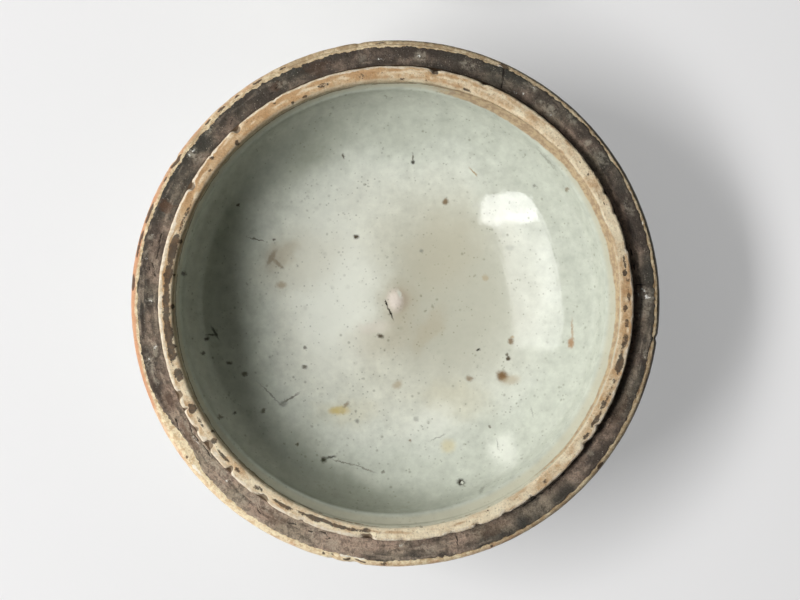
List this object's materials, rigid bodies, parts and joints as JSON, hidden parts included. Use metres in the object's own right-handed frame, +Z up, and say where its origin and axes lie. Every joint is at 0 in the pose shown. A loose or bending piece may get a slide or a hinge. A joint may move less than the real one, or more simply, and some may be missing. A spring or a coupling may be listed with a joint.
{
  "type": "seal paste box",
  "caption": "Shallow round porcelain box for seal paste: footed base with a bare ledge and raised flange round its well, and a flat-crowned lid that seats over the flange.",
  "frame": {"origin": "centre of the base's foot ring, on the surface that the box stands on", "axes": "+Z up out of the open well; +Y from the base towards the lid, which lies upside down behind it; +X to the right as seen in the picture"},
  "size_m": [0.095, 0.205, 0.0267],
  "materials": {
    "base_porcelain": "gloss",
    "lid_porcelain": "gloss"
  },
  "bodies": {
    "base": {"base": "base_porcelain"},
    "lid": {"lid": "lid_porcelain"}
  },
  "joints": [
    {"name": "lid_turn_over", "type": "hinge", "parent": "base", "child": "lid", "pos_m": [0, 0.055, 0.0219], "axis": [1, 0, 0], "range_deg": [0, 180]}
  ]
}
